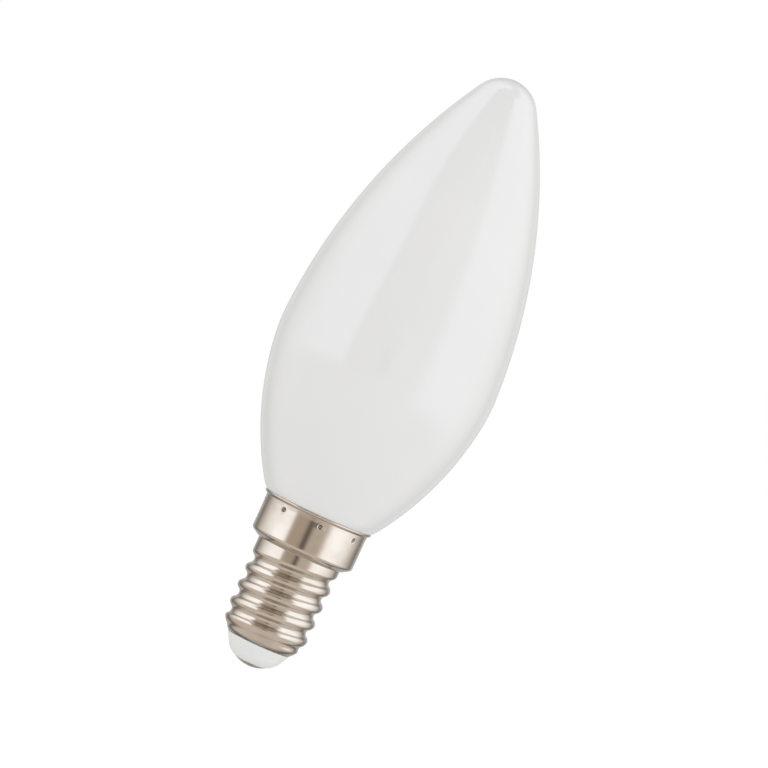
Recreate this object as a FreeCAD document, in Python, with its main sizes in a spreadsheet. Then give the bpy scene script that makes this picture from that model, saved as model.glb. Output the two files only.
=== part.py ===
import FreeCAD, Part

import math
import os

import Sketcher
from FreeCAD import Placement, Rotation, Vector

# Candle lamp with a small Edison screw cap, in millimetres.
# The axis is Z. The origin is the centre of the contact's face, where the lamp meets its holder,
# and the glass tip points up.

SIZES = {
    # whole lamp
    "overall_length": 99.0,
    "cap_height": 25.95,
    # opal glass, an outline of tangent arcs from the lip up to the tip
    "glass_diameter": 35.45,
    "belly_rise": 25.85,
    "belly_radius": 27.6,
    "upper_flank_radius": 93.0,
    "lower_flank_radius": 48.9,
    "tip_radius": 5.46,
    "glass_shoulder_radius": 7.8,
    "glass_shoulder_angle": 47.3,
    "glass_neck_length": 3.6,
    "glass_neck_bevel": 0.4,
    # cap shell, one thin sheet
    "sheet_thickness": 0.2,
    "skirt_step": 1.6,
    "skirt_height": 5.5,
    "skirt_corner_radius": 0.75,
    "shoulder_slope": 31.0,
    "lip_overhang": 0.5,
    "lip_angle": 45.0,
    "nose_radius": 4.5,
    "shell_mouth_inset": 1.7,
    "shell_mouth_height": 3.777,
    # rolled Edison thread
    "crest_diameter": 13.6,
    "thread_pitch": 2.822,
    "thread_depth": 0.8,
    "crest_land": 0.43,
    "first_groove_height": 2.75,
    "thread_end_gap": 2.204,
    "runout_turns": 0.45,
    "runout_rise": 0.03,
    # punched dimples under the lip
    "dimple_diameter": 0.8,
    "dimple_floor_diameter": 0.5,
    "dimple_depth": 0.15,
    "dimple_drop": 1.75,
    "dimple_first_angle": 8.5,
    "dimple_number": 8,
    # white insulator
    "insulator_cone_angle": 21.5,
    "insulator_rounding": 3.5,
    "insulator_rim_height": 0.64,
    "insulator_waist_length": 0.353,
    "insulator_flange_inset": 0.4,
    "insulator_flange_height": 1.926,
    # centre contact
    "contact_head_diameter": 4.9,
    "contact_dome_height": 0.58,
    "contact_rim_height": 0.35,
    "contact_flat_diameter": 1.2,
    "contact_shank_diameter": 1.8,
    "contact_peen_diameter": 2.8,
    "contact_peen_height": 0.4,
    # cement and fits
    "cement_thickness": 0.8,
    "cement_recess": 0.587,
    "fit_gap": 0.04,
}

doc = FreeCAD.newDocument("CandleLamp")
sheet = doc.addObject("Spreadsheet::Sheet", "Sizes")
for row, (alias, value) in enumerate(SIZES.items(), start=1):
    sheet.set(f"A{row}", alias.replace("_", " "))
    sheet.set(f"B{row}", str(value))
    sheet.setAlias(f"B{row}", alias)
doc.recompute()


def worth(expression):
    """The number that an expression on the sheet comes to, in millimetres or degrees."""
    value = sheet.evalExpression(expression)
    return getattr(value, "Value", value)


def at(across, height):
    """A point of the section plane, from two expressions."""
    return Vector(worth(across), worth(height), 0)


def polar(length, degrees):
    """A vector of the section plane, its angle counted from the radial direction."""
    return Vector(length * math.cos(math.radians(degrees)), length * math.sin(math.radians(degrees)), 0)


def circles_meet(centre_a, radius_a, centre_b, radius_b):
    """The crossing of two circles that lies nearer to the lamp's axis."""
    between = centre_b - centre_a
    reach = between.Length
    along = (radius_a**2 - radius_b**2 + reach**2) / (2 * reach)
    across = math.sqrt(radius_a**2 - along**2)
    unit = between / reach
    foot = centre_a + unit * along
    side = Vector(-unit.y, unit.x, 0) * across
    return min(foot + side, foot - side, key=lambda point: point.x)


def new_body(label):
    body = doc.addObject("PartDesign::Body", "".join(word.capitalize() for word in label.split("_")))
    body.Label = label
    return body


def origin_part(body, role):
    return next(feature for feature in body.Origin.OriginFeatures if feature.Role == role)


def arc_joints(centre, radius, first, last, bands):
    """Points on an arc, pairs of expressions, where flat bands that stand for it meet.

    The angles are counted from the radial direction, and the two ends are joints too.
    """
    across, height = centre
    angles = [f"({first} + ({last} - ({first})) * {i} / {bands})" for i in range(bands + 1)]
    return [(f"{across} + {radius} * cos({turned})", f"{height} + {radius} * sin({turned})")
            for turned in angles]


class Outline:
    """A closed chain of lines and arcs in a body's section plane, X outward and Y along the axis."""

    def __init__(self, body, name, start):
        self.sketch = body.newObject("Sketcher::SketchObject", name)
        self.sketch.AttachmentSupport = [(origin_part(body, "XZ_Plane"), "")]
        self.sketch.MapMode = "FlatFace"
        self.start = start
        self.pen = start
        self.chain = []

    def line(self, end, along=None):
        """A line from the pen to end. along is Horizontal or Vertical."""
        index = self.sketch.addGeometry(Part.LineSegment(self.pen, end), False)
        self._join(index, 1, 2)
        if along:
            self.sketch.addConstraint(Sketcher.Constraint(along, index))
        self.pen = end
        return index

    def arc(self, end, centre, smooth=True):
        """An arc from the pen to end, the shorter way round its centre."""
        first = self.pen - centre
        last = end - centre
        forward = first.cross(last).z > 0
        if not forward:
            first, last = last, first
        circle = Part.Circle(centre, Vector(0, 0, 1), first.Length)
        turn = [math.atan2(side.y, side.x) for side in (first, last)]
        if turn[1] < turn[0]:
            turn[1] += 2 * math.pi
        index = self.sketch.addGeometry(Part.ArcOfCircle(circle, *turn), False)
        self._join(index, *((1, 2) if forward else (2, 1)), smooth)
        self.pen = end
        return index

    def long_arc(self, end, centre, heights):
        """An arc drawn in stretches that end at the given heights, expressions on the sheet."""
        radius = (end - centre).Length
        pieces = []
        for height in heights:
            level = worth(height)
            across = centre.x + math.sqrt(radius**2 - (level - centre.y)**2)
            pieces.append(self.arc(Vector(across, level, 0), centre, smooth=not pieces))
            self.point(pieces[-1], "tail", height=height)
        pieces.append(self.arc(end, centre, smooth=not pieces))
        for one, other in zip(pieces, pieces[1:]):
            self.same_centre(one, other)
        return pieces[0]

    def _join(self, index, head, tail, smooth=False):
        if self.chain:
            last, _, last_tail = self.chain[-1]
            kind = "Tangent" if smooth else "Coincident"
            self.sketch.addConstraint(Sketcher.Constraint(kind, last, last_tail, index, head))
        self.chain.append((index, head, tail))

    def close(self):
        """The last line, back to the first point."""
        index = self.line(self.start)
        first, head, _ = self.chain[0]
        self.sketch.addConstraint(Sketcher.Constraint("Coincident", index, 2, first, head))

    def place(self, index, position, across=None, height=None):
        """Ties a point to the sheet. position is 1 or 2 for a line's ends, 3 for an arc's centre."""
        for kind, expression, axis in (("DistanceX", across, -2), ("DistanceY", height, -1)):
            if expression == "0":
                self.sketch.addConstraint(Sketcher.Constraint("PointOnObject", index, position, axis))
            elif expression:
                self.bind((kind, -1, 1, index, position), expression)

    def point(self, index, end, **where):
        """The same for a chain piece's end: end is head or tail in drawing order."""
        _, head, tail = next(piece for piece in self.chain if piece[0] == index)
        self.place(index, head if end == "head" else tail, **where)

    def radius(self, index, expression):
        self.bind(("Radius", index), expression)

    def slope(self, index, expression):
        """A line's angle from the radial direction, in degrees."""
        self.bind(("Angle", index), expression)

    def same_centre(self, one, other):
        self.sketch.addConstraint(Sketcher.Constraint("Coincident", one, 3, other, 3))

    def bind(self, constraint, expression):
        """A constraint whose size follows an expression on the sheet."""
        value = worth(expression)
        if constraint[0] == "Angle":
            value = math.radians(value)
            expression = f"({expression}) * 1 deg"
        number = self.sketch.addConstraint(Sketcher.Constraint(*constraint, value))
        self.sketch.setExpression(f"Constraints[{number}]", expression)

    def bands(self, joints):
        """Flat bands from the pen through the joints, the pen's own place the first of them."""
        for across, height in joints[1:]:
            self.point(self.line(at(across, height)), "tail", across=across, height=height)

    def polygon(self, corners):
        """Straight sides through the corners, pairs of expressions, back to the first one."""
        for corner in corners[1:]:
            self.line(at(*corner))
        self.close()
        for (index, head, _), (across, height) in zip(self.chain, corners):
            self.place(index, head, across=across, height=height)
        return self.sketch


def turn(body, name, sketch, kind="PartDesign::Revolution", axis="V_Axis"):
    """A full revolution, or a groove, of a section about one of its sketch's axes."""
    feature = body.newObject(kind, name)
    feature.Profile = sketch
    feature.ReferenceAxis = (sketch, [axis])
    feature.Angle = 360
    doc.recompute()
    return feature


# Radii and heights that several pieces share
CREST = "Sizes.crest_diameter / 2"
SKIRT = f"{CREST} + Sizes.skirt_step"
SKIRT_INSIDE = f"{SKIRT} - Sizes.sheet_thickness"
LIP = f"{SKIRT} + Sizes.lip_overhang"
SEAT = f"{LIP} - Sizes.sheet_thickness - Sizes.fit_gap"
NECK = f"{SKIRT_INSIDE} - Sizes.cement_thickness"
NECK_TOP = f"Sizes.cap_height - ({SEAT} - ({NECK})) * tan((90 - Sizes.glass_shoulder_angle) * 1 deg)"
NECK_FOOT = f"{NECK_TOP} - Sizes.glass_neck_length + Sizes.glass_neck_bevel"
BELLY_HEIGHT = "(Sizes.cap_height + Sizes.belly_rise)"
SHOULDER_TOP = "Sizes.cap_height - Sizes.skirt_height"
SHOULDER_ACROSS = f"{SKIRT} - Sizes.skirt_corner_radius * (1 - sin(Sizes.shoulder_slope * 1 deg))"
SHOULDER_FOOT = (f"{SHOULDER_TOP} - Sizes.skirt_corner_radius * cos(Sizes.shoulder_slope * 1 deg)"
                 f" - ({SHOULDER_ACROSS} - {CREST}) * tan(Sizes.shoulder_slope * 1 deg)")
THREAD_TURNS = (f"(({SHOULDER_FOOT} - Sizes.thread_end_gap - Sizes.first_groove_height)"
                " / Sizes.thread_pitch)")
THREAD_BORE = f"{CREST} - Sizes.thread_depth - Sizes.sheet_thickness"
NOSE_CENTRE = f"{CREST} - Sizes.nose_radius"
NOSE_SPAN = "acos(1 - Sizes.shell_mouth_inset / Sizes.nose_radius)"
NOSE_TOP = f"Sizes.shell_mouth_height + Sizes.nose_radius * sin({NOSE_SPAN})"
NOSE_INSIDE = "(Sizes.nose_radius - Sizes.sheet_thickness)"
MOUTH_INSIDE = f"{NOSE_CENTRE} + {NOSE_INSIDE} * cos({NOSE_SPAN})"
MOUTH_TOP = f"{NOSE_TOP} - {NOSE_INSIDE} * sin({NOSE_SPAN})"
BORE_FOOT = f"{NOSE_TOP} - sqrt({NOSE_INSIDE} ^ 2 - ({THREAD_BORE} - ({NOSE_CENTRE})) ^ 2)"
NOSE_SLOPE = f"atan(({BORE_FOOT} - ({MOUTH_TOP})) / ({THREAD_BORE} - ({MOUTH_INSIDE})))"
WAIST = f"{MOUTH_INSIDE} - Sizes.fit_gap"
WAIST_TOP = f"{MOUTH_TOP} + Sizes.fit_gap"
INSULATOR_TOP = f"{WAIST_TOP} + Sizes.insulator_flange_height"
CONTACT_HEAD = "Sizes.contact_head_diameter / 2"
CONTACT_SHANK = "Sizes.contact_shank_diameter / 2"
HEAD_BACK = "Sizes.contact_dome_height + Sizes.contact_rim_height"


def glass_envelope():
    """Blown opal bulb, sealed and seen as one solid, with its neck inside the cap's skirt."""
    body = new_body("glass_envelope")
    belly_across = "Sizes.glass_diameter / 2 - Sizes.belly_radius"
    lean = worth("90 - Sizes.glass_shoulder_angle")
    seat = at(SEAT, "Sizes.cap_height")
    belly = at(belly_across, BELLY_HEIGHT)
    tip = at("0", "Sizes.overall_length - Sizes.tip_radius")
    shoulder_radius = SIZES["glass_shoulder_radius"]
    lower_radius = SIZES["lower_flank_radius"]
    belly_radius = SIZES["belly_radius"]
    upper_radius = SIZES["upper_flank_radius"]
    shoulder = seat + polar(shoulder_radius, lean + 90)
    lower = circles_meet(shoulder, lower_radius - shoulder_radius, belly, lower_radius - belly_radius)
    upper = circles_meet(belly, upper_radius - belly_radius, tip, upper_radius - SIZES["tip_radius"])
    neck_foot = at(NECK, NECK_FOOT)
    bevel = SIZES["glass_neck_bevel"]

    def touch(big, radius, small):
        return big + (small - big).normalize() * radius

    outline = Outline(body, "GlassSection", Vector(0, neck_foot.y - bevel, 0))
    bottom = outline.line(neck_foot - Vector(bevel, bevel, 0), along="Horizontal")
    edge = outline.line(neck_foot)
    wall = outline.line(at(NECK, NECK_TOP), along="Vertical")
    cone = outline.line(seat)
    shoulder_arc = outline.arc(touch(lower, lower_radius, shoulder), shoulder)
    lower_arc = outline.long_arc(
        touch(lower, lower_radius, belly), lower,
        [f"Sizes.cap_height + Sizes.belly_rise * {i} / 5" for i in range(1, 5)])
    belly_arc = outline.arc(touch(upper, upper_radius, belly), belly)
    upper_arc = outline.long_arc(
        touch(upper, upper_radius, tip), upper,
        [f"{BELLY_HEIGHT} + (Sizes.overall_length - {BELLY_HEIGHT}) * {i} / 6" for i in range(1, 6)])
    tip_arc = outline.arc(at("0", "Sizes.overall_length"), tip)
    outline.close()

    outline.point(bottom, "head", across="0")
    outline.point(edge, "tail", height=NECK_FOOT)
    outline.bind(("DistanceX", edge, 1, edge, 2), "Sizes.glass_neck_bevel")
    outline.bind(("DistanceY", edge, 1, edge, 2), "Sizes.glass_neck_bevel")
    outline.point(wall, "tail", across=NECK)
    outline.slope(cone, "90 - Sizes.glass_shoulder_angle")
    outline.point(cone, "tail", height="Sizes.cap_height", across=SEAT)
    outline.radius(shoulder_arc, "Sizes.glass_shoulder_radius")
    outline.radius(lower_arc, "Sizes.lower_flank_radius")
    outline.radius(belly_arc, "Sizes.belly_radius")
    outline.place(belly_arc, 3, height=BELLY_HEIGHT, across=belly_across)
    outline.radius(upper_arc, "Sizes.upper_flank_radius")
    outline.radius(tip_arc, "Sizes.tip_radius")
    outline.place(tip_arc, 3, across="0")
    outline.point(tip_arc, "tail", across="0", height="Sizes.overall_length")
    turn(body, "GlassTurned", outline.sketch)
    return body


def screw_shell():
    """Cap drawn from one sheet: nose, rolled thread, shoulder, skirt, flared lip and dimples."""
    body = new_body("screw_shell")
    turn(body, "ShellTurned", shell_section(body))
    thread_groove(body, "Thread", "0", THREAD_TURNS, "0")
    fade = "(Sizes.thread_depth + Sizes.runout_rise) / Sizes.runout_turns"
    thread_groove(body, "ThreadRunout", THREAD_TURNS, "Sizes.runout_turns", fade)
    dimple = first_dimple(body)
    ring = body.newObject("PartDesign::PolarPattern", "DimpleRing")
    ring.Originals = [dimple]
    ring.Axis = (origin_part(body, "Z_Axis"), [""])
    ring.Angle = 360
    ring.setExpression("Occurrences", "Sizes.dimple_number")
    body.Tip = ring
    doc.recompute()
    return body


def shell_section(body):
    """The cap's wall before the thread is rolled and the dimples are punched."""
    nose = arc_joints((NOSE_CENTRE, NOSE_TOP), "Sizes.nose_radius", f"-{NOSE_SPAN}", "0 deg", 3)
    corner = arc_joints((f"{SKIRT} - Sizes.skirt_corner_radius", SHOULDER_TOP),
                        "Sizes.skirt_corner_radius", "(Sizes.shoulder_slope - 90) * 1 deg", "0 deg", 2)
    slope = math.radians(SIZES["shoulder_slope"])
    lip = math.radians(SIZES["lip_angle"])
    thickness = SIZES["sheet_thickness"]
    corner_start = at(*corner[0])
    lip_top = at(LIP, "Sizes.cap_height") - Vector(0, thickness * math.sin(lip), 0)
    fold = Vector(worth(SKIRT), lip_top.y - (lip_top.x - worth(SKIRT)) / math.tan(lip), 0)
    bore_foot = at(THREAD_BORE, BORE_FOOT)

    outline = Outline(body, "ShellSection", at(*nose[0]))
    outline.bands(nose)
    outline.line(at(CREST, SHOULDER_FOOT), along="Vertical")
    cone = outline.line(corner_start)
    outline.bands(corner)
    outline.line(fold, along="Vertical")
    flare = outline.line(lip_top)
    edge = outline.line(lip_top + Vector(-thickness * math.cos(lip), thickness * math.sin(lip), 0))
    flare_inside = outline.line(fold + Vector(-thickness, thickness * math.tan(lip / 2), 0))
    past_corner = worth(SKIRT_INSIDE) - corner_start.x + thickness * math.sin(slope)
    bend_height = corner_start.y + thickness * math.cos(slope) + past_corner * math.tan(slope)
    bend = Vector(worth(SKIRT_INSIDE), bend_height, 0)
    skirt_inside = outline.line(bend, along="Vertical")
    cone_inside = outline.line(bend - Vector(1, math.tan(slope), 0) * (bend.x - bore_foot.x))
    bore = outline.line(bore_foot, along="Vertical")
    nose_inside = outline.line(at(MOUTH_INSIDE, MOUTH_TOP))
    outline.close()

    outline.point(outline.chain[0][0], "head", across=nose[0][0], height=nose[0][1])
    outline.point(cone, "tail", across=corner[0][0], height=corner[0][1])
    outline.slope(cone, "Sizes.shoulder_slope")
    outline.slope(flare, "90 - Sizes.lip_angle")
    outline.point(flare, "tail", across=LIP)
    outline.point(edge, "tail", height="Sizes.cap_height")
    outline.sketch.addConstraint(Sketcher.Constraint("Perpendicular", edge, flare))
    outline.bind(("Distance", edge), "Sizes.sheet_thickness")
    outline.sketch.addConstraint(Sketcher.Constraint("Parallel", flare_inside, flare))
    outline.point(skirt_inside, "head", across=SKIRT_INSIDE)
    outline.sketch.addConstraint(Sketcher.Constraint("Parallel", cone_inside, cone))
    outline.bind(("Distance", cone_inside, 1, cone), "Sizes.sheet_thickness")
    outline.point(bore, "tail", across=THREAD_BORE, height=BORE_FOOT)
    outline.point(nose_inside, "tail", across=MOUTH_INSIDE, height=MOUTH_TOP)
    return outline.sketch


def thread_groove(body, name, start, turns, growth):
    """A rolled groove of the right-handed Edison thread, its round root and crests drawn as flats.

    The roundings of root and crest are equal arcs that meet halfway up the flank. The floor and
    the flank touch them, and a bevel stands for the crest's rounding. The bevel runs on beyond
    the crest, so that the cut leaves it cleanly. The groove begins start turns up the thread.
    """
    height = f"Sizes.first_groove_height + {start} * Sizes.thread_pitch"
    spread = "2 * atan(2 * Sizes.thread_depth / Sizes.thread_pitch)"
    floor = "(Sizes.thread_pitch / 8 + Sizes.thread_depth ^ 2 / (2 * Sizes.thread_pitch))"
    bevel = f"({floor} - Sizes.crest_land / 2)"
    half = (
        (f"{CREST} - Sizes.thread_depth", floor),
        (f"{CREST} - {bevel} * sin({spread})",
         f"(Sizes.thread_pitch / 2 - {floor} - {bevel} * cos({spread}))"),
        (f"{CREST} + Sizes.crest_land / 2 * Sizes.thread_depth / Sizes.thread_pitch",
         "(Sizes.thread_pitch / 2 - Sizes.crest_land / 4)"),
    )
    upper = [(across, f"{height} + {rise}") for across, rise in half]
    lower = [(across, f"{height} - {rise}") for across, rise in reversed(half)]
    corners = upper + lower
    sketch = Outline(body, f"{name}Section", at(*corners[0])).polygon(corners)
    sketch.AttachmentOffset = Placement(Vector(), Rotation(Vector(0, 1, 0), 0))
    sketch.setExpression("AttachmentOffset.Rotation.Angle", f"{start} * 360 deg")
    helix = body.newObject("PartDesign::SubtractiveHelix", name)
    helix.Profile = sketch
    helix.ReferenceAxis = (sketch, ["V_Axis"])
    helix.Mode = "height-turns-growth"
    helix.setExpression("Height", f"{turns} * Sizes.thread_pitch")
    helix.setExpression("Turns", turns)
    helix.setExpression("Growth", growth)
    doc.recompute()
    return helix


def first_dimple(body):
    """A punched mark with a slanting wall and a flat floor, turned about its own radial axis."""
    proud = f"{SKIRT} + Sizes.dimple_depth"
    floor = f"{SKIRT} - Sizes.dimple_depth"
    mouth_radius = "Sizes.dimple_diameter - Sizes.dimple_floor_diameter / 2"
    corners = [(proud, "0"), (proud, mouth_radius), (floor, "Sizes.dimple_floor_diameter / 2"), (floor, "0")]
    sketch = Outline(body, "DimpleSection", at(*corners[0])).polygon(corners)
    sketch.AttachmentOffset = Placement(Vector(), Rotation(Vector(0, 1, 0), 0))
    sketch.setExpression("AttachmentOffset.Base.y", "Sizes.cap_height - Sizes.dimple_drop")
    sketch.setExpression("AttachmentOffset.Rotation.Angle", "Sizes.dimple_first_angle * 1 deg")
    return turn(body, "Dimple", sketch, "PartDesign::Groove", axis="H_Axis")


def insulator():
    """Moulded insulator, held by its flange inside the shell's mouth, with a seat for the contact."""
    body = new_body("insulator")
    bore = f"{CONTACT_SHANK} + Sizes.fit_gap"
    seat = f"{CONTACT_HEAD} + Sizes.fit_gap"
    waist_foot = f"({WAIST_TOP} - Sizes.insulator_waist_length)"
    flange = f"{THREAD_BORE} - Sizes.insulator_flange_inset"
    flange_foot = f"{WAIST_TOP} + ({flange} - ({WAIST})) * tan({NOSE_SLOPE})"
    # the dome's arc touches the cone below the waist and ends at the contact's seat
    radius = "Sizes.insulator_rounding"
    cone = "Sizes.insulator_cone_angle * 1 deg"
    across = f"({WAIST} - ({seat}))"
    rise = f"({waist_foot} - Sizes.insulator_rim_height)"
    inward = f"({across} * cos({cone}) - {rise} * sin({cone}))"
    along = f"({across} * sin({cone}) + {rise} * cos({cone}))"
    run = f"({along} - sqrt({inward} * (2 * {radius} - {inward})))"
    centre = (f"{WAIST} - {run} * sin({cone}) - {radius} * cos({cone})",
              f"({waist_foot} - {run} * cos({cone}) + {radius} * sin({cone}))")
    dome = arc_joints(centre, radius, f"-asin(({centre[1]} - Sizes.insulator_rim_height) / {radius})",
                      f"-{cone}", 3)
    turn(body, "InsulatorTurned", Outline(body, "InsulatorSection", at(bore, HEAD_BACK)).polygon([
        (bore, HEAD_BACK), (seat, HEAD_BACK), *dome, (WAIST, waist_foot), (WAIST, WAIST_TOP),
        (flange, flange_foot), (flange, INSULATOR_TOP), (bore, INSULATOR_TOP)]))
    return body


def centre_contact():
    """Contact rivet: a domed head below the insulator and a peened end above it."""
    body = new_body("centre_contact")
    flat = "Sizes.contact_flat_diameter / 2"
    peen = "Sizes.contact_peen_diameter / 2"
    back = INSULATOR_TOP
    peen_top = f"{back} + Sizes.contact_peen_height"
    dome_height = "Sizes.contact_dome_height"
    centre = f"((({CONTACT_HEAD}) ^ 2 + {dome_height} ^ 2 - ({flat}) ^ 2) / 2 / {dome_height})"
    radius = f"sqrt(({flat}) ^ 2 + {centre} ^ 2)"
    dome = arc_joints(("0", centre), radius, f"-acos({flat} / {radius})",
                      f"-acos({CONTACT_HEAD} / {radius})", 2)
    turn(body, "ContactTurned", Outline(body, "ContactSection", Vector(0, 0, 0)).polygon([
        ("0", "0"), *dome, (CONTACT_HEAD, HEAD_BACK), (CONTACT_SHANK, HEAD_BACK), (CONTACT_SHANK, back),
        (peen, back), (CONTACT_SHANK, peen_top), ("0", peen_top)]))
    return body


def capping_cement():
    """Ring of cement between the glass neck and the skirt, a little short of the neck's top."""
    body = new_body("capping_cement")
    inside = f"{NECK} + Sizes.fit_gap"
    outside = f"{SKIRT_INSIDE} - Sizes.fit_gap"
    top = f"{NECK_TOP} - Sizes.cement_recess"
    turn(body, "CementTurned", Outline(body, "CementSection", at(inside, NECK_FOOT)).polygon([
        (inside, NECK_FOOT), (outside, NECK_FOOT), (outside, top), (inside, top)]))
    return body


pieces = [glass_envelope(), screw_shell(), insulator(), centre_contact(), capping_cement()]
doc.recompute()
for item in doc.Objects:
    if "Invalid" in item.State or "Error" in item.State:
        raise RuntimeError(f"{item.Name} failed: {item.State}")
for piece in pieces:
    if piece.Shape.isNull() or not piece.Shape.isValid() or len(piece.Shape.Solids) != 1:
        raise RuntimeError(f"{piece.Label} isn't one valid solid")
os.makedirs("parts", exist_ok=True)
for piece in pieces:
    piece.Shape.exportStep(f"parts/{piece.Label}.step")
    print(f"{piece.Label}: {piece.Shape.Volume:.1f} mm3, {len(piece.Shape.Faces)} faces")
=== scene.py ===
import math

import bmesh
import bpy
from mathutils import Matrix, Vector, noise

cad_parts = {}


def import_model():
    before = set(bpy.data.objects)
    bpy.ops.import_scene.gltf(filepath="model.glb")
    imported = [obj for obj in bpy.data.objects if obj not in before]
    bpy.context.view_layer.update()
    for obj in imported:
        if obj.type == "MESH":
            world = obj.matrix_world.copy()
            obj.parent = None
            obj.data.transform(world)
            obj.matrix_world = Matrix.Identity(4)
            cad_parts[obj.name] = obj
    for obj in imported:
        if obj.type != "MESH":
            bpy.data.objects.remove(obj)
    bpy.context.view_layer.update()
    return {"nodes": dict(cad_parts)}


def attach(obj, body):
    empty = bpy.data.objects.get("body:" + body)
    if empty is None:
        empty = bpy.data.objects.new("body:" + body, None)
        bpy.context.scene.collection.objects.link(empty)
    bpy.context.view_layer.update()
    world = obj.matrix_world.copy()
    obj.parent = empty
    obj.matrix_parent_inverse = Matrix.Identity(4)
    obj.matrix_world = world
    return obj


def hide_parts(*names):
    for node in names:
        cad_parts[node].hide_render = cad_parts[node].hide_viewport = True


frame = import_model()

# Candle lamp with a small screw cap. Everything below is worked out in millimetres
# and put into the scene in metres, in the same frame as the CAD.
mm = 0.001
sameSpot = 1e-4    # points nearer to each other than this are one, in millimetres

# Camera

view = {
    "pixelsPerMm": 6.5,
    "framePixels": 768,
    "lean": 24.592,      # how far the lamp leans over in the picture, in degrees
    "fromAbove": 2.8,    # how far the camera looks down on it
    "distance": 2.0,     # metres
    "farthest": 20.0,
    "sensor": 36.0,
    "aimAcross": 0.97,   # the point in the middle of the picture
    "aimHeight": 48.15,
}


def lookAtLamp():
    tilt = math.radians(view["fromAbove"])
    lean = math.radians(view["lean"])
    back = Vector((0, -math.cos(tilt), math.sin(tilt)))
    upright = Vector((0, math.sin(tilt), math.cos(tilt)))
    across = Vector((1, 0, 0))
    right = across * math.cos(lean) + upright * math.sin(lean)
    up = upright * math.cos(lean) - across * math.sin(lean)
    aim = Vector((view["aimAcross"], 0, view["aimHeight"])) * mm
    data = bpy.data.cameras.new("camera")
    data.sensor_width = view["sensor"]
    data.lens = view["sensor"] * view["distance"] * view["pixelsPerMm"] / (view["framePixels"] * mm)
    data.clip_end = view["farthest"]
    camera = bpy.data.objects.new("camera", data)
    turn = Matrix((right, up, back)).transposed().to_4x4()
    camera.matrix_world = Matrix.Translation(aim + back * view["distance"]) @ turn
    bpy.context.scene.collection.objects.link(camera)
    bpy.context.scene.camera = camera
    bpy.context.scene.view_settings.view_transform = "Standard"


lookAtLamp()
print("camera set")

# Shaders are written as sums


# the output of a node, which can be added, multiplied and so on
class Wire:
    def __init__(self, sheet, socket):
        self.sheet = sheet
        self.socket = socket

    # another output of the same node
    def also(self, out):
        return Wire(self.sheet, self.socket.node.outputs[out])

    def __add__(self, other):
        return self.sheet.sums("ADD", self, other)

    def __sub__(self, other):
        return self.sheet.sums("SUBTRACT", self, other)

    def __rsub__(self, other):
        return self.sheet.sums("SUBTRACT", other, self)

    def __mul__(self, other):
        return self.sheet.sums("MULTIPLY", self, other)

    def __abs__(self):
        return self.sheet.sums("ABSOLUTE", self)

    __radd__ = __add__
    __rmul__ = __mul__


# the node tree of a material or a world
class Sheet:
    def __init__(self, owner):
        owner.use_nodes = True
        self.tree = owner.node_tree
        self.tree.nodes.clear()

    # a node of the given type: its settings first, then its sockets by name or number
    def node(self, kind, settings=None, inputs=None, out=0):
        made = self.tree.nodes.new(kind)
        for key, value in (settings or {}).items():
            setattr(made, key, value)
        for key, value in (inputs or {}).items():
            if isinstance(value, Wire):
                self.tree.links.new(value.socket, made.inputs[key])
            else:
                made.inputs[key].default_value = value
        return Wire(self, made.outputs[out]) if made.outputs else made

    def sums(self, operation, *values):
        return self.node("ShaderNodeMath", {"operation": operation}, dict(enumerate(values)))

    # 0 below low, 1 above high, and a soft rise between
    def smooth(self, value, low, high):
        settings = {"interpolation_type": "SMOOTHSTEP"}
        return self.node("ShaderNodeMapRange", settings, {0: value, 1: low, 2: high, 3: 0.0, 4: 1.0})

    def blend(self, factor, first, second):
        return self.node("ShaderNodeMix", {"data_type": "RGBA"}, {0: factor, 6: first, 7: second}, out=2)

    # the point on the piece in metres, stretched by scale
    def place(self, scale=(1, 1, 1)):
        where = self.node("ShaderNodeTexCoord", out=3)
        return self.node("ShaderNodeVectorMath", {"operation": "MULTIPLY"}, {0: where, 1: scale})

    def cloud(self, where, scale, detail=2.0, rough=0.5):
        return self.node("ShaderNodeTexNoise", None,
                         {"Vector": where, "Scale": scale, "Detail": detail, "Roughness": rough})

    def bump(self, height, strength, distance, normal=None):
        inputs = {"Height": height, "Strength": strength, "Distance": distance}
        if normal:
            inputs["Normal"] = normal
        return self.node("ShaderNodeBump", None, inputs)


def material(name, look):
    made = bpy.data.materials.new(name)
    sheet = Sheet(made)
    shader = sheet.node("ShaderNodeBsdfPrincipled", None, look(sheet))
    sheet.node("ShaderNodeOutputMaterial", None, {"Surface": shader})
    return made


# Materials

opal = {
    "colour": (0.79, 0.79, 0.786, 1),
    "thin": (0.775, 0.778, 0.776, 1),      # where the white layer is thinner
    "thinEdge": (0.3, 0.7),
    "gloss": 0.05,
    "specks": 0.03,
    "bending": 1.58,
}


def opalLook(sheet):
    where = sheet.place()
    patches = sheet.smooth(sheet.cloud(where, scale=55, detail=3), *opal["thinEdge"])
    specks = sheet.cloud(where, scale=900, detail=2)
    # blown glass is never quite even
    waves = sheet.cloud(sheet.place((1, 1, 0.45)), scale=70, detail=1)
    return {
        "Base Color": sheet.blend(patches, opal["colour"], opal["thin"]),
        "Roughness": opal["gloss"] + opal["specks"] * specks,
        "IOR": opal["bending"],
        "Normal": sheet.bump(waves, strength=0.12, distance=0.0006),
    }


nickel = {
    "colour": (0.62, 0.58, 0.535, 1),
    "worn": (0.56, 0.515, 0.46, 1),
    "wornEdge": (0.35, 0.75),
    "gloss": 0.13,
    "cloudGloss": 0.05,
    "drawnGloss": 0.04,
}


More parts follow.
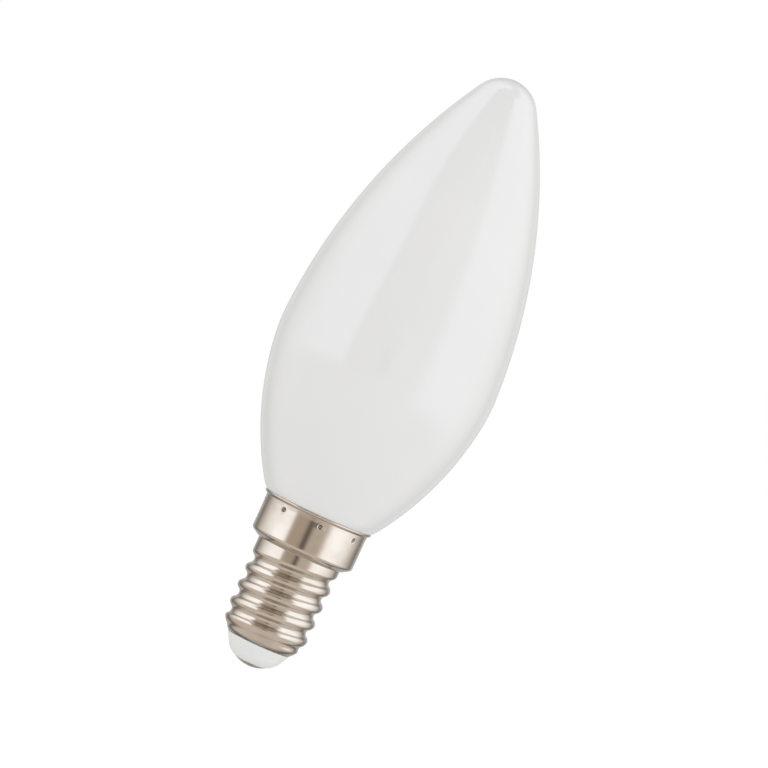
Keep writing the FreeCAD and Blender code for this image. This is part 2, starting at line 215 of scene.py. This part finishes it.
def nickelLook(sheet):
    # fine marks along the draw
    drawn = sheet.cloud(sheet.place((1, 1, 0.03)), scale=2100, detail=2, rough=0.55)
    clouds = sheet.cloud(sheet.place(), scale=300, detail=3)
    grain = sheet.cloud(sheet.place(), scale=5200, detail=2)
    marks = sheet.bump(drawn, strength=0.2, distance=0.00002)
    worn = sheet.smooth(clouds, *nickel["wornEdge"])
    return {
        "Base Color": sheet.blend(worn, nickel["colour"], nickel["worn"]),
        "Metallic": 1.0,
        "Roughness": nickel["gloss"] + nickel["cloudGloss"] * clouds + nickel["drawnGloss"] * drawn,
        "Normal": sheet.bump(grain, strength=0.08, distance=0.00001, normal=marks),
    }


# the bottom of a punched dimple: its dark colour is painted shade for the hollow, its dullness is its
# roughness
pitShade = {
    "colour": (0.27, 0.235, 0.2, 1),
    "pale": (0.38, 0.34, 0.29, 1),
    "paleEdge": (0.4, 0.65),
    "gloss": 0.36,
    "stainGloss": 0.1,
}


# a darker nickel whose colour is painted shade in the dimples' hollows; its stains vary at random
def pitShadeLook(sheet):
    stain = sheet.cloud(sheet.place(), scale=3000, detail=3)
    pale = sheet.smooth(stain, *pitShade["paleEdge"])
    return {
        "Base Color": sheet.blend(pale, pitShade["colour"], pitShade["pale"]),
        "Metallic": 1.0,
        "Roughness": pitShade["gloss"] + pitShade["stainGloss"] * stain,
        "Normal": sheet.bump(stain, strength=0.2, distance=0.00002),
    }


white = {
    "colour": (0.80, 0.803, 0.785, 1),
    "shade": (0.775, 0.78, 0.762, 1),
    "shadeEdge": (0.35, 0.7),
    "gloss": 0.38,
    "skinGloss": 0.1,
    "bending": 1.49,
}


def whiteLook(sheet):
    flow = sheet.cloud(sheet.place((1, 1, 3)), scale=260, detail=3)
    skin = sheet.cloud(sheet.place(), scale=3800, detail=2)
    shade = sheet.smooth(flow, *white["shadeEdge"])
    return {
        "Base Color": sheet.blend(shade, white["colour"], white["shade"]),
        "Roughness": white["gloss"] + white["skinGloss"] * skin,
        "IOR": white["bending"],
        "Normal": sheet.bump(skin, strength=0.12, distance=0.00003),
    }


contact = {
    "colour": (0.86, 0.82, 0.76, 1),
    "rubbed": (0.72, 0.66, 0.58, 1),
    "rubbedEdge": (0.4, 0.7),
    "gloss": 0.34,
    "spotGloss": 0.16,
}


def contactLook(sheet):
    spots = sheet.cloud(sheet.place(), scale=900, detail=4, rough=0.6)
    scuffs = sheet.cloud(sheet.place((1, 0.12, 1)), scale=4200, detail=3)
    rubbed = sheet.smooth(spots, *contact["rubbedEdge"])
    return {
        "Base Color": sheet.blend(rubbed, contact["colour"], contact["rubbed"]),
        "Metallic": 1.0,
        "Roughness": contact["gloss"] + contact["spotGloss"] * spots,
        "Normal": sheet.bump(scuffs, strength=0.2, distance=0.00002),
    }


cement = {
    "colour": (0.42, 0.36, 0.27, 1),
    "pale": (0.55, 0.49, 0.39, 1),
    "paleEdge": (0.35, 0.65),
    "gloss": 0.85,
}


def cementLook(sheet):
    lumps = sheet.cloud(sheet.place(), scale=1500, detail=5, rough=0.65)
    pale = sheet.smooth(lumps, *cement["paleEdge"])
    return {
        "Base Color": sheet.blend(pale, cement["colour"], cement["pale"]),
        "Roughness": cement["gloss"],
        "Normal": sheet.bump(lumps, strength=0.6, distance=0.00015),
    }


opalGlass = material("opalGlass", opalLook)
nickelPlate = material("nickelPlate", nickelLook)
pitShadeMetal = material("pitShadeMetal", pitShadeLook)
whiteMoulding = material("whiteMoulding", whiteLook)
contactPlate = material("contactPlate", contactLook)
hardCement = material("hardCement", cementLook)
print("materials made")

# Curves of the sections: lists of (across, height) in millimetres. A step is the longest
# mesh edge that a curve may have.


def onCircle(centre, radius, degrees):
    turn = math.radians(degrees)
    return centre[0] + radius * math.cos(turn), centre[1] + radius * math.sin(turn)


def arc(centre, radius, start, end, step):
    count = max(2, math.ceil(abs(math.radians(end - start)) * radius / step))
    return [onCircle(centre, radius, start + (end - start) * i / count) for i in range(count + 1)]


def straight(start, end, step):
    count = max(1, math.ceil(math.dist(start, end) / step))
    return [(start[0] + (end[0] - start[0]) * i / count, start[1] + (end[1] - start[1]) * i / count)
            for i in range(count + 1)]


# joins runs of points, each shared end once
def chain(*runs):
    points = []
    for run in runs:
        points += [p for p in run if not points or math.dist(p, points[-1]) > sameSpot]
    return points


def bearing(centre, point):
    return math.degrees(math.atan2(point[1] - centre[1], point[0] - centre[0]))


# the crossing of two circles that is nearer to the lamp's axis
def circlesMeet(centreA, radiusA, centreB, radiusB):
    reach = math.dist(centreA, centreB)
    along = (radiusA**2 - radiusB**2 + reach**2) / (2 * reach)
    off = math.sqrt(radiusA**2 - along**2)
    ux, uy = (centreB[0] - centreA[0]) / reach, (centreB[1] - centreA[1]) / reach
    foot = centreA[0] + ux * along, centreA[1] + uy * along
    sides = [(foot[0] - uy * off * way, foot[1] + ux * off * way) for way in (1, -1)]
    return min(sides)


# faces between rings that climb one row at each of the given columns, as a thread does
def climbingFaces(mesh, rings, steps):
    columns = len(rings[0])
    for i in range(columns):
        j = (i + 1) % columns
        up = 1 if i in steps else 0
        for row in range(len(rings) - 1 - up):
            low, high = rings[row], rings[row + 1]
            mesh.faces.new((low[i], rings[row + up][j], rings[row + up + 1][j], high[i]))
        if up:
            mesh.faces.new((rings[0][i], rings[0][j], rings[1][j]))
            mesh.faces.new((rings[-2][i], rings[-1][j], rings[-1][i]))


# faces between two rings, either of which may be a single point on the axis
def levelFaces(mesh, low, high):
    columns = max(len(low), len(high))
    for i in range(columns):
        j = (i + 1) % columns
        if len(low) == 1:
            mesh.faces.new((low[0], high[j], high[i]))
        elif len(high) == 1:
            mesh.faces.new((low[i], low[j], high[0]))
        else:
            mesh.faces.new((low[i], low[j], high[j], high[i]))


# a section turned about the axis; move(across, height, turn) may shift each point,
# and climb gives the number of rows that follow a thread and the columns where they step up
def turned(name, section, angles, look, move=None, closed=True, climb=None):
    mesh = bmesh.new()
    rings = []
    for across, height in section:
        if across < sameSpot:
            rings.append([mesh.verts.new((0, 0, height * mm))])
            continue
        ring = []
        for turn in angles:
            r, z = move(across, height, turn) if move else (across, height)
            ring.append(mesh.verts.new((r * math.cos(turn) * mm, r * math.sin(turn) * mm, z * mm)))
        rings.append(ring)
    level = rings
    if climb:
        climbingFaces(mesh, rings[:climb[0]], climb[1])
        level = rings[climb[0] - 1:]
    pairs = list(zip(level, level[1:]))
    if closed and len(rings[0]) > 1 and len(rings[-1]) > 1:
        pairs.append((rings[-1], rings[0]))
    for low, high in pairs:
        levelFaces(mesh, low, high)
    data = bpy.data.meshes.new(name)
    mesh.to_mesh(data)
    mesh.free()
    data.shade_smooth()
    data.materials.append(look)
    made = bpy.data.objects.new(name, data)
    bpy.context.scene.collection.objects.link(made)
    return made


def evenTurns(count):
    return [2 * math.pi * i / count for i in range(count)]


def held(share):
    return max(0, min(1, share))


def eased(share):
    return share * share * (3 - 2 * share)


# Glass bulb: one blown outline of tangent arcs

glass = {
    "length": 99.0,
    "seatHeight": 26.0,
    "seatDrop": 0.97,      # from the seat down to the neck
    "diameter": 35.42,
    "bellyHeight": 51.8,
    "bellyRadius": 27.6,
    "upperFlank": 93.0,
    "lowerFlank": 48.9,
    "tip": 5.46,
    "shoulder": 7.8,
    "shoulderAngle": 47.3,
    "seat": 8.66,
    "neck": 7.4,
    "neckFoot": 21.187,
    "neckRounding": 0.4,
    "hub": 2.0,            # the first ring of faces round the axis
    "columns": 192,
    "step": 0.75,
}


def glassSection():
    g = glass
    step, rounding = g["step"], g["neckRounding"]
    lean = 90 - g["shoulderAngle"]
    seat = g["seat"], g["seatHeight"]
    belly = g["diameter"] / 2 - g["bellyRadius"], g["bellyHeight"]
    tip = 0, g["length"] - g["tip"]
    shoulder = onCircle(seat, g["shoulder"], lean + 90)
    lower = circlesMeet(shoulder, g["lowerFlank"] - g["shoulder"],
                        belly, g["lowerFlank"] - g["bellyRadius"])
    upper = circlesMeet(belly, g["upperFlank"] - g["bellyRadius"],
                        tip, g["upperFlank"] - g["tip"])
    neckTop = g["neck"], g["seatHeight"] - g["seatDrop"]
    neckCorner = g["neck"] - rounding, g["neckFoot"] + rounding
    toShoulder, toBelly = bearing(lower, shoulder), bearing(lower, belly)
    fromBelly, toTip = bearing(upper, belly), bearing(upper, tip)
    return chain(
        [(0, g["neckFoot"])],
        straight((g["hub"], g["neckFoot"]), (neckCorner[0], g["neckFoot"]), step=2.5),
        arc(neckCorner, rounding, -90, 0, step=0.15),
        straight((g["neck"], neckCorner[1]), neckTop, step),
        straight(neckTop, seat, step / 2),
        arc(shoulder, g["shoulder"], lean - 90, toShoulder, step / 2),
        arc(lower, g["lowerFlank"], toShoulder, toBelly, step),
        arc(belly, g["bellyRadius"], toBelly, fromBelly, step),
        arc(upper, g["upperFlank"], fromBelly, toTip, step),
        arc(tip, g["tip"], toTip, 90, step / 2)[:-1],
        [(0, g["length"])],
    )


glassBulb = turned("glassBulb", glassSection(), evenTurns(glass["columns"]), opalGlass)
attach(glassBulb, "root")
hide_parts("glass_envelope")
print("glass", len(glassBulb.data.polygons), "faces")

# Cap shell: one thin sheet with a rolled thread, a skirt, a flared lip and punched dimples

shell = {
    "sheet": 0.2,
    "crest": 6.8,
    "depth": 0.8,
    "pitch": 2.822,
    "firstGroove": 2.62,
    "fullTurns": 5,
    "runout": 0.45,        # turns over which the last groove fades
    "rolledTo": 19.0,      # nothing is rolled above this height
    "noseRadius": 4.5,
    "noseTop": 7.3,
    "noseSoft": 0.4,       # how softly the grooves run off into the nose
    "noseFade": 1.2,       # the height over which that softness comes in
    "noseDip": 0.24,       # how far the thread's end is pressed into the nose
    "dipTurn": 0.55,       # where that lies round the nose, in turns, and how far it reaches
    "dipReach": 0.25,
    "dipRise": 0.55,       # its height above the groove's middle
    "dipWidth": 0.42,
    "mouthHeight": 3.777,
    "shoulderSlope": 32.0,
    "footRounding": 0.5,
    "cornerRadius": 0.65,
    "cornerHeight": 20.2,
    "skirt": 8.4,
    "lip": 8.84,
    "flareFoot": 24.55,    # from here up the skirt opens a little towards its lip
    "flareReach": 0.85,
    "flare": 0.06,
    "lipHeight": 26.05,
    "lipAngle": 60,
    "lipFold": 0.14,
    "lipEdge": 0.25,
    "lipRim": 0.12,
    "lipWaver": 0.02,      # how far the lip strays inward, since no cut edge is quite even
    "waverFoot": 25.3,
    "waverReach": 0.5,
    "waverScale": 3.0,
    "waverSlice": 1.7,
    "dimples": 8,
    "firstDimple": 8.5,
    "dimpleHeight": 24.5,
    "dimpleRadius": 0.45,
    "dimpleDepth": 0.28,
    "dimpleFloor": 0.35,   # the flat share of its radius
    "dimpleShadeShare": 0.8,     # the share of its radius that gets the darker colour, painted shade for the hollow
    "dimpleRim": 0.025,    # the faint rim that the punch pushes up
    "rimAway": 1.15,       # how far out that lies, how wide it is and where it ends, in dimple radii
    "rimWidth": 0.2,
    "rimEnd": 1.5,
    "rowsPerPitch": 28,
    "freeRows": 0.6,       # rows left out at both ends of the thread, so that no face shrinks to nothing
    "dimpleBand": 0.62,    # the mesh is close this far above and below the dimples
    "dimpleSpan": 8.4,     # and over this many degrees at each of them
    "columnsInSpan": 12,
    "columnsBetween": 16,
}


# the shoulder's cone, from the middle of its foot's rounding to its upper end
def shoulderCone():
    s = shell
    slope = math.radians(s["shoulderSlope"])
    coneTop = onCircle((s["skirt"] - s["cornerRadius"], s["cornerHeight"]), s["cornerRadius"],
                       s["shoulderSlope"] - 90)
    footHeight = coneTop[1] - (coneTop[0] - s["crest"]) * math.tan(slope)
    # the foot's rounding touches the neck below and the cone above
    reach = s["footRounding"] * math.tan((math.pi / 2 - slope) / 2)
    return (s["crest"] + s["footRounding"], footHeight - reach), coneTop


# the sheet's outer side below the shoulder, before the thread is rolled into it
def noseAcross(height):
    s = shell
    drop = max(0, s["noseTop"] - height)
    return s["crest"] - s["noseRadius"] + math.sqrt(s["noseRadius"]**2 - drop**2)


# the rows of the mesh between the mouth and the shoulder, which climb with the thread
def threadRows():
    s = shell
    flat, top = s["pitch"] / s["rowsPerPitch"], shoulderCone()[0][1]
    foot, free = s["mouthHeight"], s["freeRows"]
    count = math.floor((top - foot) / flat - 2 * free)
    return [foot, *(foot + flat * (i + free) for i in range(count)), top]


# the columns after which the rows step up by one
def threadSteps(turns):
    rows = [math.floor(turn / (2 * math.pi) * shell["rowsPerPitch"]) for turn in turns]
    return {i for i in range(len(rows)) if rows[i] != rows[(i + 1) % len(rows)]}


def shellSection():
    s = shell
    corner = s["skirt"] - s["cornerRadius"], s["cornerHeight"]
    footCentre, coneTop = shoulderCone()
    # the lip folds out of the skirt wall, flares straight, and turns up again at its edge
    lipAngle = s["lipAngle"]
    edge = s["lip"] - s["lipEdge"], s["lipHeight"] - s["lipRim"]
    flareEnd = onCircle(edge, s["lipEdge"], -lipAngle)
    fold = s["skirt"] + s["lipFold"]
    leave = onCircle((fold, 0), s["lipFold"], 180 - lipAngle)
    rise = (flareEnd[0] - leave[0]) / math.tan(math.radians(lipAngle))
    foldHeight = flareEnd[1] - rise - leave[1]
    dimpleLow, dimpleHigh = s["dimpleHeight"] - s["dimpleBand"], s["dimpleHeight"] + s["dimpleBand"]
    return chain(
        [(noseAcross(height), height) for height in threadRows()],
        arc(footCentre, s["footRounding"], 180, 90 + s["shoulderSlope"], step=0.1),
        straight(onCircle(footCentre, s["footRounding"], 90 + s["shoulderSlope"]), coneTop, step=0.2),
        arc(corner, s["cornerRadius"], s["shoulderSlope"] - 90, 0, step=0.1),
        straight((s["skirt"], s["cornerHeight"]), (s["skirt"], dimpleLow), step=0.5),
        straight((s["skirt"], dimpleLow), (s["skirt"], dimpleHigh), step=0.085),
        straight((s["skirt"], dimpleHigh), (s["skirt"], foldHeight), step=0.2),
        arc((fold, foldHeight), s["lipFold"], 180, 180 - lipAngle, step=0.04),
        straight((leave[0], leave[1] + foldHeight), flareEnd, step=0.09),
        arc(edge, s["lipEdge"], -lipAngle, 0, step=0.05),
        [(s["lip"], s["lipHeight"])],
    )


# how far the rolled groove lies below the crest, at a distance from the groove's middle
def grooveDepth(off):
    s = shell
    quarter, half = s["pitch"] / 4, s["pitch"] / 2
    rounding = (quarter**2 + (s["depth"] / 2)**2) / s["depth"]
    off = abs(off)
    if off >= half:
        return 0
    if off <= quarter:
        return s["depth"] - (rounding - math.sqrt(rounding**2 - off**2))
    return rounding - math.sqrt(rounding**2 - (half - off)**2)


# the lesser of two values, with the change from one to the other rounded over a width
def softLess(one, other, width):
    mix = held(0.5 + 0.5 * (other - one) / width)
    return other + (one - other) * mix - width * mix * (1 - mix)


# the distance from the nearest dimple's middle, in dimple radii
def dimpleAway(height, turn):
    s = shell
    step = 2 * math.pi / s["dimples"]
    side = (turn - math.radians(s["firstDimple"]) + step / 2) % step - step / 2
    return math.hypot(side * s["skirt"], height - s["dimpleHeight"]) / s["dimpleRadius"]


# the crest less the deepest groove that a point lies in
def rolledAcross(height, share):
    s = shell
    depth = 0
    for groove in range(-1, s["fullTurns"] + 1):
        middle = s["firstGroove"] + s["pitch"] * (groove + share)
        fade = 1
        if groove == s["fullTurns"]:
            fade = max(0, 1 - share / s["runout"])
            # only its shallow half is eased
            fade = eased(fade) if fade < 0.5 else fade
        depth = max(depth, fade * grooveDepth(height - middle))
    return s["crest"] - depth


# the climb of the rows, the rolled groove and the press mark in the nose
def threadMove(across, height, share):
    s = shell
    if s["mouthHeight"] < height < shoulderCone()[0][1]:
        height += s["pitch"] / s["rowsPerPitch"] * (share * s["rowsPerPitch"] % 1)
        across = noseAcross(height)
    cut = rolledAcross(height, share)
    if height >= s["noseTop"]:
        return min(across, cut), height
    dipHeight = s["firstGroove"] + s["pitch"] * share + s["dipRise"]
    dipHere = max(0, 1 - abs(share - s["dipTurn"]) / s["dipReach"])
    across -= s["noseDip"] * dipHere * math.exp(-((height - dipHeight) / s["dipWidth"])**2)
    soft = s["noseSoft"] * min(1, (s["noseTop"] - height) / s["noseFade"])
    return softLess(across, cut, soft), height


# the sheet's points: thread below, flare, dimples and the lip's waver above
def shellMove(across, height, turn):
    s = shell
    if height < s["rolledTo"]:
        return threadMove(across, height, turn / (2 * math.pi))
    across += s["flare"] * held((height - s["flareFoot"]) / s["flareReach"])**2
    away = dimpleAway(height, turn)
    if away < s["rimEnd"]:
        sunk = eased(1 - held((away - s["dimpleFloor"]) / (1 - s["dimpleFloor"])))
        across += s["dimpleRim"] * math.exp(-((away - s["rimAway"]) / s["rimWidth"])**2)
        across -= s["dimpleDepth"] * sunk
    if height > s["waverFoot"]:
        scale = s["waverScale"]
        wave = noise.noise(Vector((scale * math.cos(turn), scale * math.sin(turn), s["waverSlice"])))
        across -= s["lipWaver"] * (wave + 1) * min(1, (height - s["waverFoot"]) / s["waverReach"])
    return across, height


# columns close together at each dimple and wider between
def shellTurns():
    s = shell
    step, span = 360 / s["dimples"], s["dimpleSpan"]
    near, wide = s["columnsInSpan"], s["columnsBetween"]
    turns = []
    for dimple in range(s["dimples"]):
        start = s["firstDimple"] + step * dimple
        turns += [start - span / 2 + span * i / near for i in range(near)]
        turns += [start + span / 2 + (step - span) * i / wide for i in range(wide)]
    return sorted(math.radians(turn % 360) for turn in turns)


capShell = turned("capShell", shellSection(), shellTurns(), nickelPlate, shellMove, closed=False,
                  climb=(len(threadRows()), threadSteps(shellTurns())))
# the faces inside each dimple take the darker material, painted shade for the hollow
capShell.data.materials.append(pitShadeMetal)
for face in capShell.data.polygons:
    x, y, z = (value / mm for value in face.center)
    if dimpleAway(z, math.atan2(y, x)) < shell["dimpleShadeShare"]:
        face.material_index = 1
sheetMetal = capShell.modifiers.new("sheetMetal", "SOLIDIFY")
sheetMetal.thickness = shell["sheet"] * mm
sheetMetal.offset = -1
sheetMetal.use_quality_normals = True
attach(capShell, "root")
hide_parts("screw_shell")
print("shell", len(capShell.data.polygons), "faces on its outer side")

# Insulator: a moulded dome with a seat for the contact

insulator = {
    "bore": 0.94,
    "seat": 2.53,
    "seatTop": 0.93,
    "seatEdge": 0.07,      # the rounding round the contact's seat, and how far it lies above the rim
    "seatRise": 0.08,
    "seatTurn": 290.0,     # where that rounding ends and the rounding of the rim starts, in degrees
    "rimSkip": 2.0,
    "rim": 0.64,
    "rounding": 3.5,
    "roundingCentre": (1.296, 3.93),
    "coneAngle": 28.0,
    "swell": (5.07, 3.6),  # it bulges a little before it goes in under the sheet's edge
    "swellTop": (5.085, 3.725),
    "waist": 4.936,
    "waistFoot": 3.765,
    "waistTop": 3.974,
    "flange": 5.4,
    "flangeFoot": 4.45,
    "top": 5.9,
    "columns": 128,
}


def insulatorSection():
    i = insulator
    centre = i["roundingCentre"]
    seatFoot = i["rim"] + i["seatRise"]
    rimTurn = -math.degrees(math.asin((centre[1] - i["rim"]) / i["rounding"]))
    domeEnd = onCircle(centre, i["rounding"], -i["coneAngle"])
    return chain(
        straight((i["bore"], i["top"]), (i["bore"], i["seatTop"]), step=1),
        straight((i["bore"], i["seatTop"]), (i["seat"], i["seatTop"]), step=0.5),
        straight((i["seat"], i["seatTop"]), (i["seat"], seatFoot), step=0.1),
        arc((i["seat"] + i["seatEdge"], seatFoot), i["seatEdge"], 180, i["seatTurn"], step=0.03),
        arc(centre, i["rounding"], rimTurn + i["rimSkip"], -i["coneAngle"], step=0.12),
        straight(domeEnd, i["swell"], step=0.12),
        straight(i["swell"], i["swellTop"], step=0.08),
        straight(i["swellTop"], (i["waist"], i["waistFoot"]), step=0.08),
        straight((i["waist"], i["waistFoot"]), (i["waist"], i["waistTop"]), step=0.12),
        straight((i["waist"], i["waistTop"]), (i["flange"], i["flangeFoot"]), step=0.2),
        straight((i["flange"], i["flangeFoot"]), (i["flange"], i["top"]), step=0.5),
        straight((i["flange"], i["top"]), (i["bore"], i["top"]), step=1)[:-1],
    )


capInsulator = turned("capInsulator", insulatorSection(), evenTurns(insulator["columns"]), whiteMoulding)
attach(capInsulator, "root")
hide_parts("insulator")

# Centre contact: a rivet with a domed head and a peened end

rivet = {
    "head": 2.45,
    "dome": 0.58,
    "rim": 0.35,
    "flat": 0.6,
    "shank": 0.9,
    "peen": 1.4,
    "back": 5.9,
    "top": 6.3,
    "edge": 0.12,          # the rounding of the head's edge, and the degrees left out before it
    "edgeSkip": 8.0,
    "peenRounding": 0.3,
    "peenLift": 0.1,
    "peenStart": -18.0,
    "hub": 0.2,            # the first ring of faces round the axis
    "columns": 96,
}


def rivetSection():
    v = rivet
    centre = (v["head"]**2 + v["dome"]**2 - v["flat"]**2) / (2 * v["dome"])
    radius = math.hypot(v["flat"], centre)
    first = -math.degrees(math.acos(v["flat"] / radius))
    last = -math.degrees(math.acos((v["head"] - v["edge"]) / radius))
    edgeCentre = v["head"] - v["edge"], onCircle((0, centre), radius, last)[1] + v["edge"]
    headTop = v["dome"] + v["rim"]
    peenCentre = v["peen"] - v["peenRounding"], v["back"] + v["peenLift"]
    return chain(
        [(0, 0)],
        straight((v["hub"], 0), (v["flat"], 0), step=0.2),
        arc((0, centre), radius, first, last, step=0.12),
        arc(edgeCentre, v["edge"], last + v["edgeSkip"], 0, step=0.04),
        straight((v["head"], edgeCentre[1]), (v["head"], headTop), step=0.1),
        straight((v["head"], headTop), (v["shank"], headTop), step=0.5),
        straight((v["shank"], headTop), (v["shank"], v["back"]), step=1),
        straight((v["shank"], v["back"]), (v["peen"], v["back"]), step=0.3),
        arc(peenCentre, v["peenRounding"], v["peenStart"], 90, step=0.1),
        [(0, v["top"])],
    )


contactRivet = turned("contactRivet", rivetSection(), evenTurns(rivet["columns"]), contactPlate)
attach(contactRivet, "root")
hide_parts("centre_contact")

# the cement inside the skirt keeps its CAD form
for entry in frame["nodes"]["capping_cement"].material_slots:
    entry.material = hardCement
print("cap made")

# Floor, backdrop and light

studio = {
    "floorHeight": -0.04,  # metres
    "floorSize": 3.0,
    "paper": (0.92, 0.92, 0.92, 1),
    "floorGlow": (0.17, 0.17, 0.17, 1),
    "lampAim": (0, 0, 0.05),
    "frontLeft": (0.58, 0.475, 0.385, 1),
    "frontRight": (0.71, 0.62, 0.525, 1),
    "line": (0.08, 0.065, 0.055, 1),
    "below": (0.82, 0.745, 0.67, 1),
    "dark": (0.105, 0.086, 0.07, 1),
    "wall": (0.54, 0.53, 0.51, 1),
    "box": (1.6, 1.61, 1.63, 1),
    "ambientFront": (0.735, 0.735, 0.735, 1),
    "ambientBack": (1.06, 1.06, 1.06, 1),
    "black": (0, 0, 0, 1),
    "blank": (1, 1, 1, 1),
}

# The room that metal and glass mirror. A pair is where an edge starts and ends, in degrees:
# sideways from the camera's direction, or above or below the horizon.
room = {
    "leftBoxEdge": (36.0, 46.0),
    "leftBoxFade": (62.0, 142.0),
    "leftBoxFoot": (-18.0, -8.0),
    "leftBoxTop": (-26.0, -12.0),      # from a line that rises towards the back
    "rightBoxEdge": (31.0, 50.0),
    "rightBoxFade": (64.0, 142.0),
    "rightBoxFoot": (-22.0, -12.0),
    "rightBoxTop": (58.0, 74.0),
    "boxFade": 0.93,                   # how much of its light a box loses towards the back
    "boxLift": 0.8,                    # both boxes reach further back higher up
    "lineLeft": 1.5,                   # where the dark line's middle lies
    "lineBelow": 3.0,
    "lineAcross": (1.0, 10.0),
    "lineAlong": (4.0, 12.0),
    "wallEdge": (136.0, 158.0),
    "wallTop": (14.0, 28.0),
    "wallFoot": (38.0, 50.0),
    "behindEdge": (100.0, 150.0),
    "behindFoot": (69.0, 83.0),
    "frontTurn": (-4.0, 8.0),          # from the left front's colour to the right front's
    "belowEdge": (8.0, 22.0),
    "ceiling": (44.0, 62.0),
    "underfoot": (64.0, 86.0),
    "underfootShade": 0.24,
}

lamps = {
    "leftLamp": {"place": (-0.7, -0.5, 0.5), "size": (0.5, 0.8), "power": 1.15},
    "rightLamp": {"place": (0.7, -0.45, 0.45), "size": (0.5, 0.8), "power": 1.5},
}


def makeFloor():
    size = studio["floorSize"]
    data = bpy.data.meshes.new("floor")
    corners = [(-size, -size), (size, -size), (size, size), (-size, size)]
    data.from_pydata([(x, y, studio["floorHeight"]) for x, y in corners], [], [(0, 1, 2, 3)])
    floor = bpy.data.objects.new("floor", data)
    bpy.context.scene.collection.objects.link(floor)
    look = bpy.data.materials.new("paleFloor")
    sheet = Sheet(look)
    seen = sheet.node("ShaderNodeLightPath")
    under = sheet.node("ShaderNodeNewGeometry", out="Backfacing")
    paper = sheet.node("ShaderNodeBsdfDiffuse", None, {"Color": studio["paper"]})
    # only the camera sees this glow, which whitens the paper round the lamp's shadow
    shine = sheet.blend(seen, studio["black"], studio["floorGlow"])
    glow = sheet.node("ShaderNodeEmission", None, {"Color": shine, "Strength": 1.0})
    both = sheet.node("ShaderNodeAddShader", None, {0: paper, 1: glow})
    # clear from below, so that the cap's end can be looked at
    clear = sheet.node("ShaderNodeBsdfTransparent")
    surface = sheet.node("ShaderNodeMixShader", None, {0: seen * under, 1: both, 2: clear})
    sheet.node("ShaderNodeOutputMaterial", None, {"Surface": surface})
    data.materials.append(look)
    floor.visible_glossy = False


def makeWorld():
    world = bpy.data.worlds.new("studio")
    bpy.context.scene.world = world
    sheet = Sheet(world)

    def past(value, edge):
        return sheet.smooth(value, *room[edge])

    def before(value, edge):
        return 1 - past(value, edge)

    x = sheet.node("ShaderNodeSeparateXYZ", None, {0: sheet.node("ShaderNodeTexCoord")})
    y, z = x.also(1), x.also(2)
    right = sheet.sums("ARCTAN2", x, 0 - y) * math.degrees(1)
    left = 0 - right
    above = sheet.sums("ARCSINE", z) * math.degrees(1)
    below = 0 - above
    lift = room["boxLift"] * sheet.sums("MAXIMUM", above, 0.0)
    leftBox = (past(left, "leftBoxEdge") * (1 - room["boxFade"] * past(left - lift, "leftBoxFade"))
               * past(above, "leftBoxFoot") * before(above - left, "leftBoxTop"))
    rightBox = (past(right, "rightBoxEdge") * (1 - room["boxFade"] * past(right - lift, "rightBoxFade"))
                * past(above, "rightBoxFoot") * before(above, "rightBoxTop"))
    line = (before(abs(right + room["lineLeft"]), "lineAcross")
            * before(abs(above + room["lineBelow"]), "lineAlong"))
    wall = past(abs(right), "wallEdge") * before(above, "wallTop") * before(below, "wallFoot")
    behind = past(abs(right), "behindEdge") * before(below, "behindFoot")
    walls = sheet.blend(past(right, "frontTurn"), studio["frontLeft"], studio["frontRight"])
    walls = sheet.blend(line, walls, studio["line"])
    walls = sheet.blend(past(below, "belowEdge"), walls, studio["below"])
    walls = sheet.blend(behind, walls, studio["dark"])
    walls = sheet.blend(past(above, "ceiling"), walls, studio["dark"])
    walls = sheet.blend(room["underfootShade"] * past(below, "underfoot"), walls, studio["dark"])
    walls = sheet.blend(wall, walls, studio["wall"])
    mirrored = sheet.blend(leftBox + rightBox, walls, studio["box"])
    isCamera = sheet.node("ShaderNodeLightPath")
    isGlossy, isThrough = isCamera.also("Is Glossy Ray"), isCamera.also("Is Transmission Ray")
    # everything else is lit evenly, a little more from behind
    ambient = sheet.blend(0.5 + 0.5 * y, studio["ambientFront"], studio["ambientBack"])
    lit = sheet.blend(isGlossy, ambient, mirrored)
    shown = sheet.blend(sheet.sums("MAXIMUM", isCamera, isThrough), lit, studio["blank"])
    background = sheet.node("ShaderNodeBackground", None, {"Color": shown, "Strength": 1.0})
    sheet.node("ShaderNodeOutputWorld", None, {"Surface": background})


def softLamp(name, place, size, power):
    data = bpy.data.lights.new(name, "AREA")
    data.shape = "RECTANGLE"
    data.size, data.size_y = size
    data.energy = power
    lamp = bpy.data.objects.new(name, data)
    lamp.location = place
    aim = Vector(studio["lampAim"]) - Vector(place)
    lamp.rotation_euler = aim.to_track_quat("-Z", "Y").to_euler()
    lamp.visible_glossy = False
    bpy.context.scene.collection.objects.link(lamp)


makeFloor()
makeWorld()
for lampName, lampValues in lamps.items():
    softLamp(lampName, **lampValues)
print("studio made")
